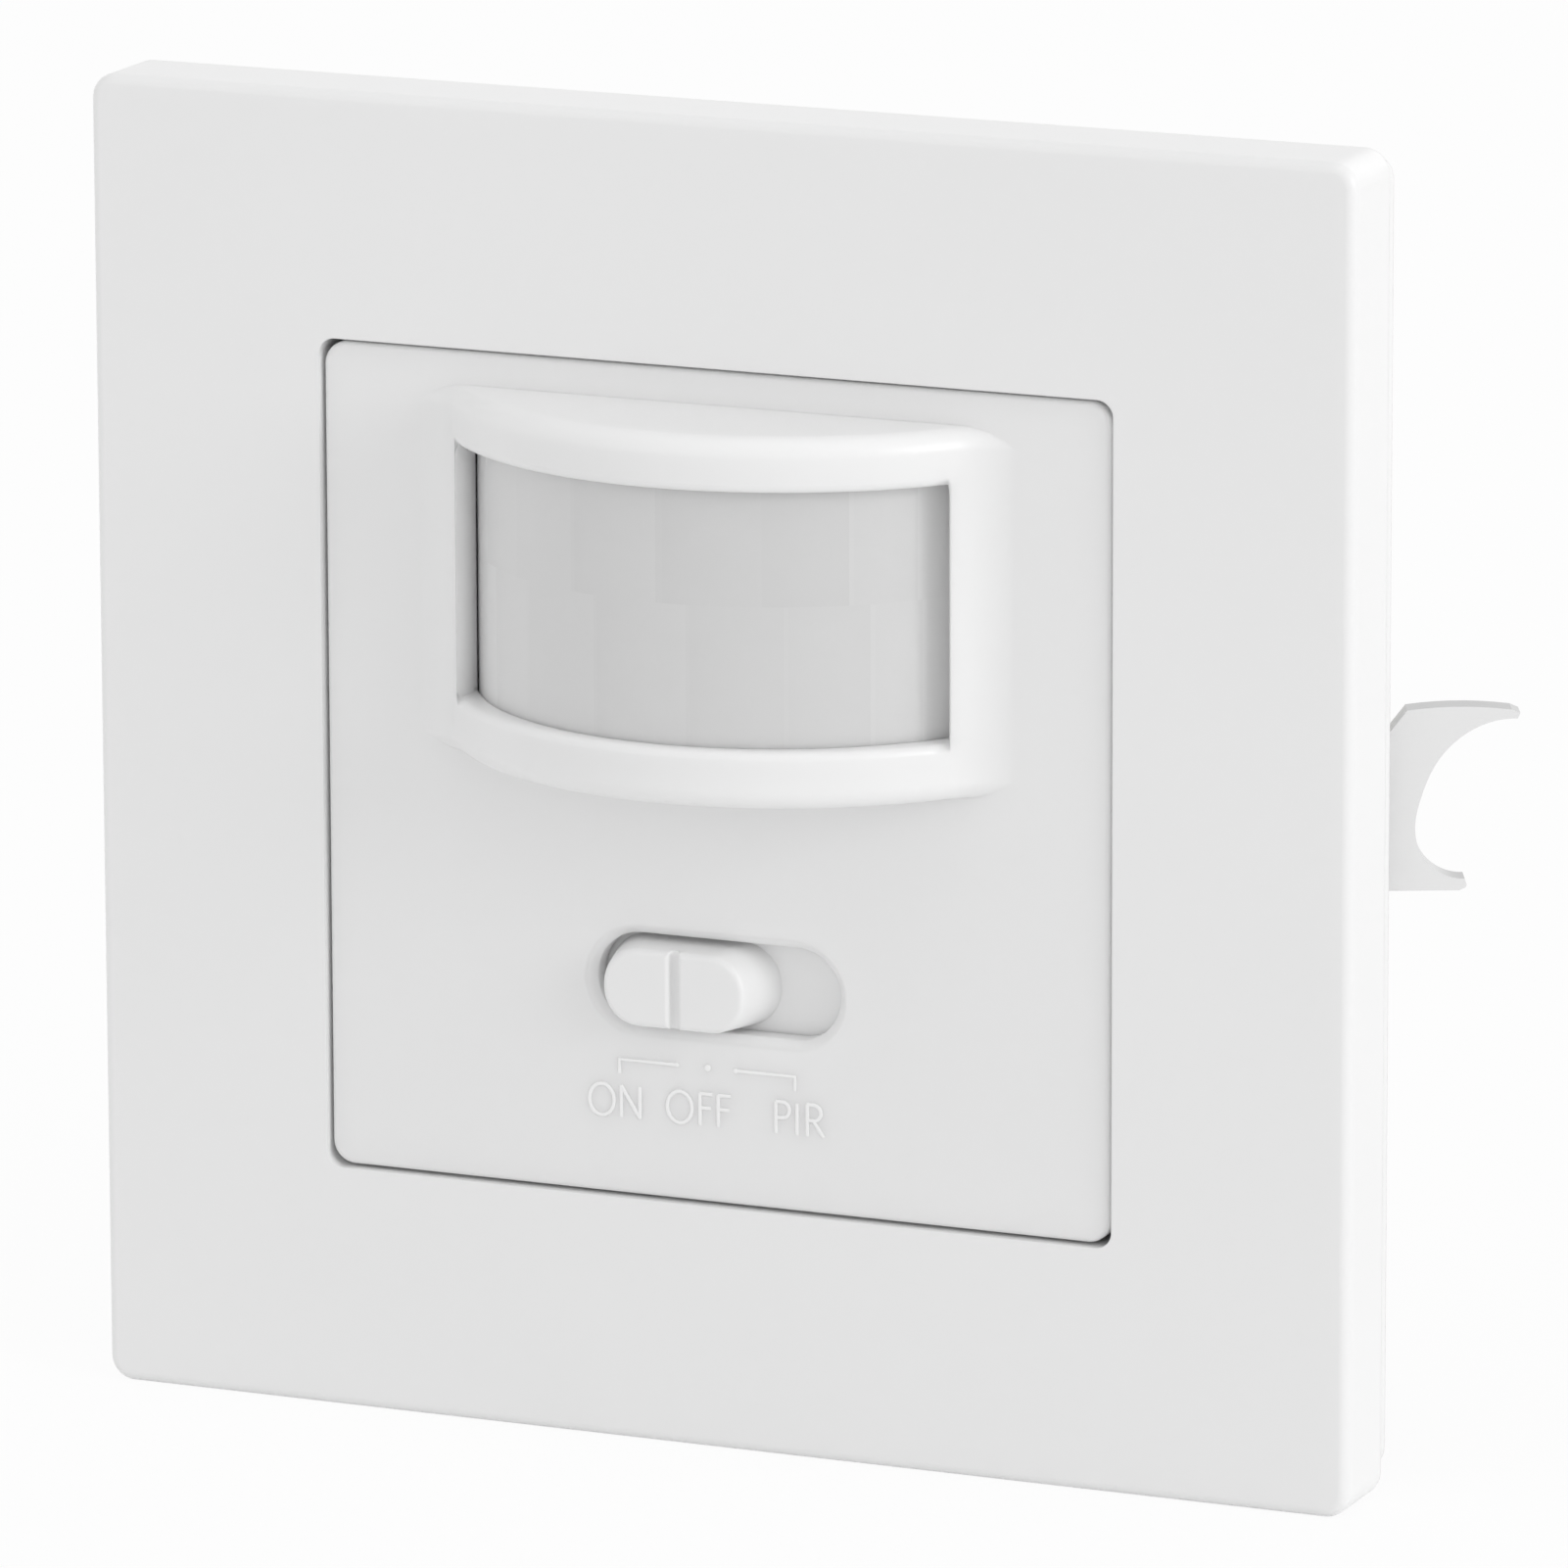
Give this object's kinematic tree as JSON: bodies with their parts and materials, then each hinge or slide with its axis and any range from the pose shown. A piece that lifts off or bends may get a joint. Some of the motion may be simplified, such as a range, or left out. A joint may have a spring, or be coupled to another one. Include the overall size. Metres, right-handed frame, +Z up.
{
  "type": "motion sensor light switch",
  "caption": "Flush wall switch with a square cover frame, a curved infrared lens under a hood, a sliding mode knob and spreading claws at the sides.",
  "frame": {"origin": "middle of the wall plane, halfway between the two box screws", "axes": "+X to the right as seen from the room, +Y into the wall, +Z up"},
  "size_m": [0.0888, 0.0413, 0.08],
  "materials": {
    "frame_plastic": "glossy white moulding",
    "plate_plastic": "glossy white moulding",
    "knob_plastic": "satin white moulding",
    "lens_plastic": "milky translucent sheet",
    "inner_plastic": "matte light grey moulding",
    "housing_plastic": "matte light grey moulding",
    "claw_steel": "bright zinc plate",
    "ring_steel": "zinc plated sheet",
    "screw_steel": "zinc plated",
    "board_laminate": "green solder mask",
    "header_plastic": "black strip",
    "can_metal": "nickel plated can",
    "cell_ceramic": "orange ceramic face",
    "chip_resin": "black moulded resin",
    "switch_shell": "pressed tin plate",
    "lever_plastic": "black moulding",
    "trimmer_plastic": "blue moulding",
    "rotor_plastic": "white moulding",
    "relay_plastic": "dark blue case",
    "film_plastic": "ochre case",
    "sleeve_plastic": "black sleeve",
    "varistor_coat": "blue epoxy coat",
    "resistor_coat": "grey green coat",
    "diode_resin": "black moulded resin",
    "terminal_plastic": "grey moulding",
    "contact_brass": "bright brass"
  },
  "bodies": {
    "switch": {"cover_frame": "frame_plastic", "centre_plate": "plate_plastic", "fresnel_lens": "lens_plastic", "lens_retainer": "inner_plastic", "support_ring": "ring_steel", "chassis": "inner_plastic", "rear_housing": "housing_plastic", "housing_screws": "screw_steel", "sensor_board": "board_laminate", "power_board": "board_laminate", "board_header": "header_plastic", "pyro_sensor": "can_metal", "light_sensor": "cell_ceramic", "sensor_chip": "chip_resin", "slide_switch_body": "switch_shell", "trimmer_bodies": "trimmer_plastic", "relay": "relay_plastic", "film_capacitor": "film_plastic", "smoothing_capacitor": "sleeve_plastic", "varistor": "varistor_coat", "fuse_resistor": "resistor_coat", "rectifier_diodes": "diode_resin", "terminal_block": "terminal_plastic", "terminal_contacts": "contact_brass"},
    "knob": {"slide_knob": "knob_plastic", "slide_switch_lever": "lever_plastic"},
    "right_screw": {"claw_screw_right": "screw_steel", "claw_clip_right": "screw_steel"},
    "right_nut": {"claw_nut_right": "screw_steel"},
    "right_claw": {"claw_right": "claw_steel"},
    "left_screw": {"claw_screw_left": "screw_steel", "claw_clip_left": "screw_steel"},
    "left_nut": {"claw_nut_left": "screw_steel"},
    "left_claw": {"claw_left": "claw_steel"},
    "range_rotor": {"trimmer_rotor_range": "rotor_plastic"},
    "lux_rotor": {"trimmer_rotor_lux": "rotor_plastic"},
    "time_rotor": {"trimmer_rotor_time": "rotor_plastic"},
    "pole_1_screw": {"terminal_screw_1": "screw_steel"},
    "pole_1_clamp": {"terminal_clamp_1": "screw_steel"},
    "pole_2_screw": {"terminal_screw_2": "screw_steel"},
    "pole_2_clamp": {"terminal_clamp_2": "screw_steel"},
    "pole_3_screw": {"terminal_screw_3": "screw_steel"},
    "pole_3_clamp": {"terminal_clamp_3": "screw_steel"}
  },
  "joints": [
    {"name": "knob_slide", "type": "slide", "parent": "switch", "child": "knob", "axis": [1, 0, 0], "range_m": [0, 0.0041]},
    {"name": "right_screw_turn", "type": "hinge", "parent": "switch", "child": "right_screw", "pos_m": [0.0246, 0, 0], "axis": [0, 1, 0], "range_deg": [-2520, 0]},
    {"name": "right_nut_slide", "type": "slide", "parent": "switch", "child": "right_nut", "axis": [0, 1, 0], "range_m": [0, 0.0042]},
    {"name": "right_claw_fold", "type": "hinge", "parent": "right_nut", "child": "right_claw", "pos_m": [0.0246, 0.0026, 0], "axis": [0, 0, 1], "range_deg": [0, 65]},
    {"name": "left_screw_turn", "type": "hinge", "parent": "switch", "child": "left_screw", "pos_m": [-0.0246, 0, 0], "axis": [0, 1, 0], "range_deg": [-2520, 0]},
    {"name": "left_nut_slide", "type": "slide", "parent": "switch", "child": "left_nut", "axis": [0, 1, 0], "range_m": [0, 0.0042]},
    {"name": "left_claw_fold", "type": "hinge", "parent": "left_nut", "child": "left_claw", "pos_m": [-0.0246, 0.0026, 0], "axis": [0, 0, 1], "range_deg": [-65, 0]},
    {"name": "range_turn", "type": "hinge", "parent": "switch", "child": "range_rotor", "pos_m": [-0.008, 0, -0.0172], "axis": [0, 1, 0], "range_deg": [-135, 135]},
    {"name": "lux_turn", "type": "hinge", "parent": "switch", "child": "lux_rotor", "pos_m": [0, 0, -0.0172], "axis": [0, 1, 0], "range_deg": [-135, 135]},
    {"name": "time_turn", "type": "hinge", "parent": "switch", "child": "time_rotor", "pos_m": [0.008, 0, -0.0172], "axis": [0, 1, 0], "range_deg": [-135, 135]},
    {"name": "pole_1_turn", "type": "hinge", "parent": "switch", "child": "pole_1_screw", "pos_m": [-0.0075, 0.018, -0.0166], "axis": [0, -1, 0], "range_deg": [0, 1728]},
    {"name": "pole_1_rise", "type": "slide", "parent": "switch", "child": "pole_1_clamp", "axis": [0, 1, 0], "range_m": [0, 0.0024]},
    {"name": "pole_2_turn", "type": "hinge", "parent": "switch", "child": "pole_2_screw", "pos_m": [0, 0.018, -0.0166], "axis": [0, -1, 0], "range_deg": [0, 1728]},
    {"name": "pole_2_rise", "type": "slide", "parent": "switch", "child": "pole_2_clamp", "axis": [0, 1, 0], "range_m": [0, 0.0024]},
    {"name": "pole_3_turn", "type": "hinge", "parent": "switch", "child": "pole_3_screw", "pos_m": [0.0075, 0.018, -0.0166], "axis": [0, -1, 0], "range_deg": [0, 1728]},
    {"name": "pole_3_rise", "type": "slide", "parent": "switch", "child": "pole_3_clamp", "axis": [0, 1, 0], "range_m": [0, 0.0024]}
  ],
  "couplings": [
    {"joint": "right_screw_turn", "follows": "right_nut_slide", "rad_per_m": -10472},
    {"joint": "right_claw_fold", "follows": "right_nut_slide", "rad_per_m": 270.11},
    {"joint": "left_screw_turn", "follows": "left_nut_slide", "rad_per_m": -10472},
    {"joint": "left_claw_fold", "follows": "left_nut_slide", "rad_per_m": -270.11},
    {"joint": "pole_1_turn", "follows": "pole_1_rise", "rad_per_m": 12566},
    {"joint": "pole_2_turn", "follows": "pole_2_rise", "rad_per_m": 12566},
    {"joint": "pole_3_turn", "follows": "pole_3_rise", "rad_per_m": 12566}
  ]
}
